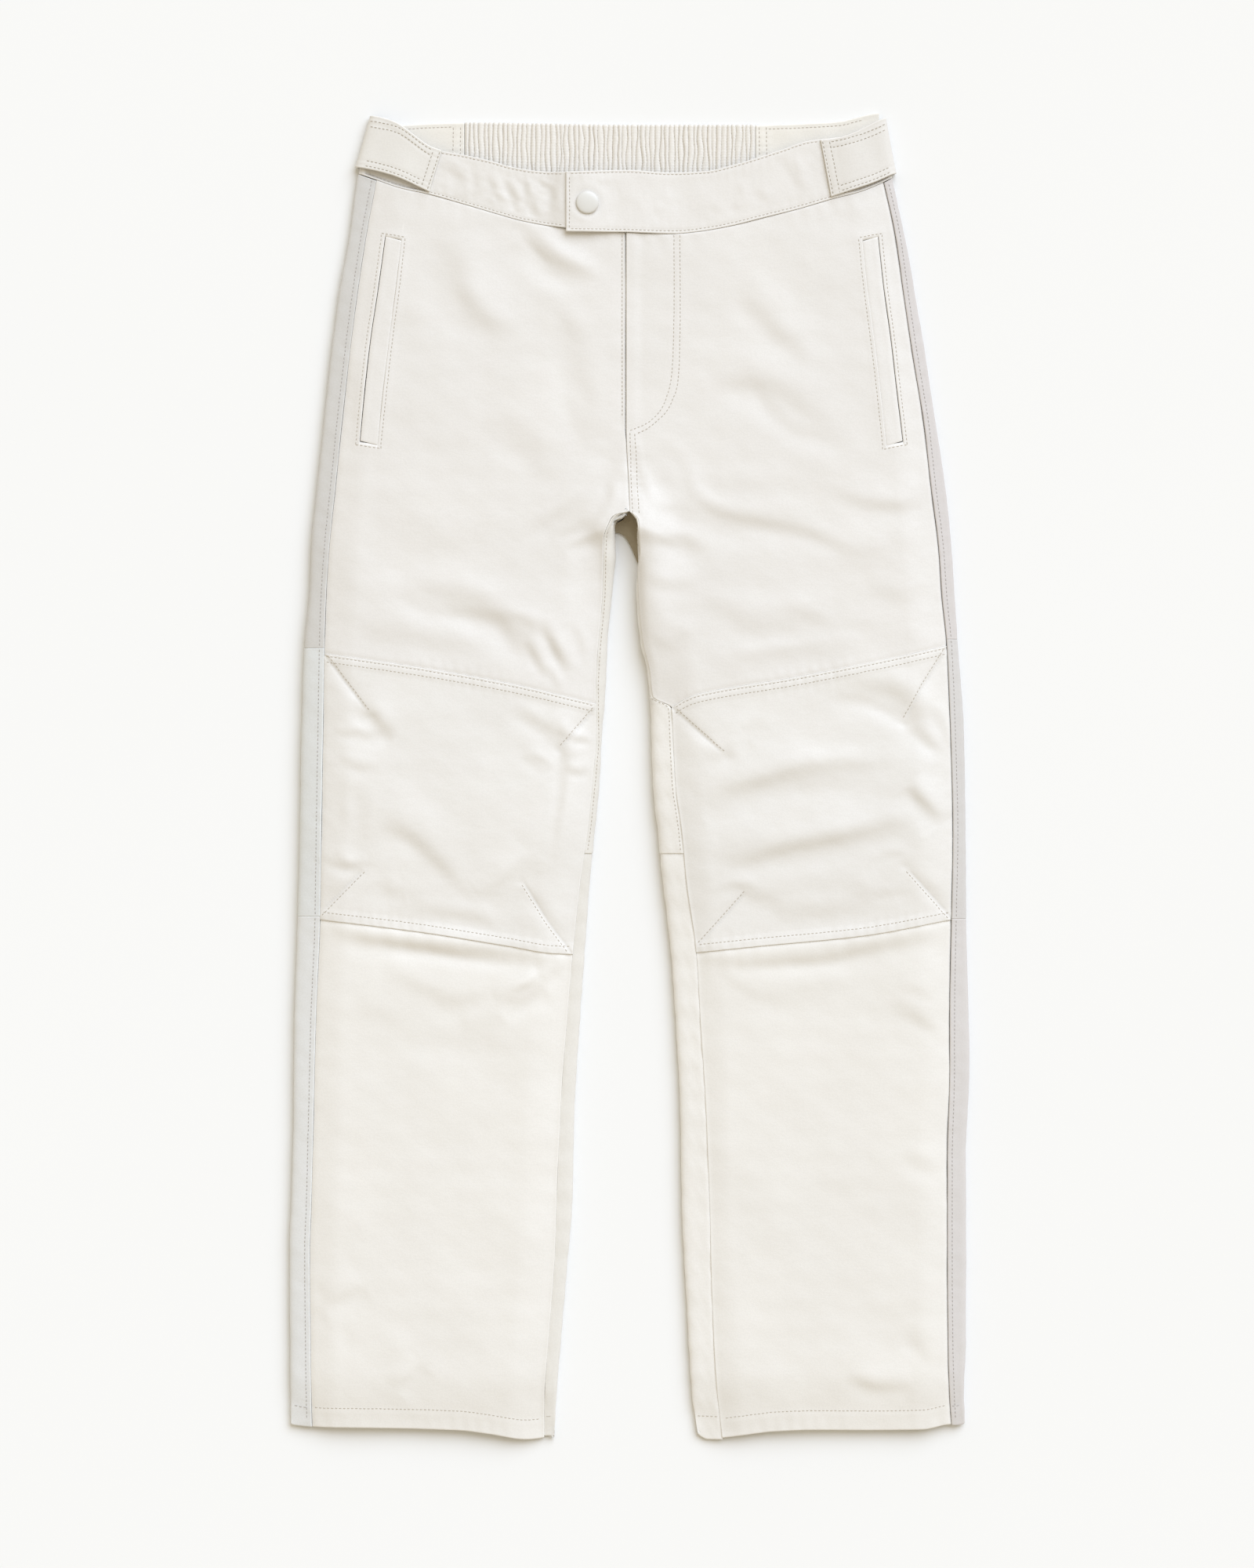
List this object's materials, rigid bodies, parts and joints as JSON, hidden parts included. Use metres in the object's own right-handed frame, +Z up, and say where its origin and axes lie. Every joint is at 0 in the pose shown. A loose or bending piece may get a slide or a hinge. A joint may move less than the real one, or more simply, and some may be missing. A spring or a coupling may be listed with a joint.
{
  "type": "leather trousers",
  "caption": "Straight leather trousers with side stripes, darted knee panels, welt pockets and a snap waistband, laid flat front side up.",
  "frame": {"origin": "middle of the underside, as the trousers lie on their back on a floor", "axes": "+X towards the wearer's left, +Y towards the waist, +Z up out of the front"},
  "size_m": [0.5661, 1.097, 0.0246],
  "materials": {
    "cream_leather": "smooth aniline leather, soft sheen",
    "cream_leather_band": "smooth leather, double topstitched",
    "cream_leather_back": "smooth leather",
    "grey_leather": "smooth leather, light grey",
    "shirred_leather": "finely gathered over elastic",
    "snap_enamel": "satin enamel"
  },
  "bodies": {
    "root": {"front_thigh_right": "cream_leather", "front_knee_right": "cream_leather", "front_shin_right": "cream_leather", "pocket_welt_right": "cream_leather", "stripe_thigh_right": "grey_leather", "stripe_knee_right": "grey_leather", "stripe_shin_right": "grey_leather", "back_thigh_right": "cream_leather_back", "back_shin_right": "cream_leather_back", "side_strap_right": "cream_leather_band", "waistband_front_right": "cream_leather_band", "waistband_back_right": "cream_leather_back", "front_thigh_left": "cream_leather", "front_knee_left": "cream_leather", "front_shin_left": "cream_leather", "pocket_welt_left": "cream_leather", "stripe_thigh_left": "grey_leather", "stripe_knee_left": "grey_leather", "stripe_shin_left": "grey_leather", "back_thigh_left": "cream_leather_back", "back_shin_left": "cream_leather_back", "side_strap_left": "cream_leather_band", "waistband_front_left": "cream_leather_band", "waistband_back_left": "cream_leather_back", "waistband_back_elastic": "shirred_leather", "fly_underlap": "cream_leather_band", "snap_cap": "snap_enamel"}
  },
  "joints": []
}
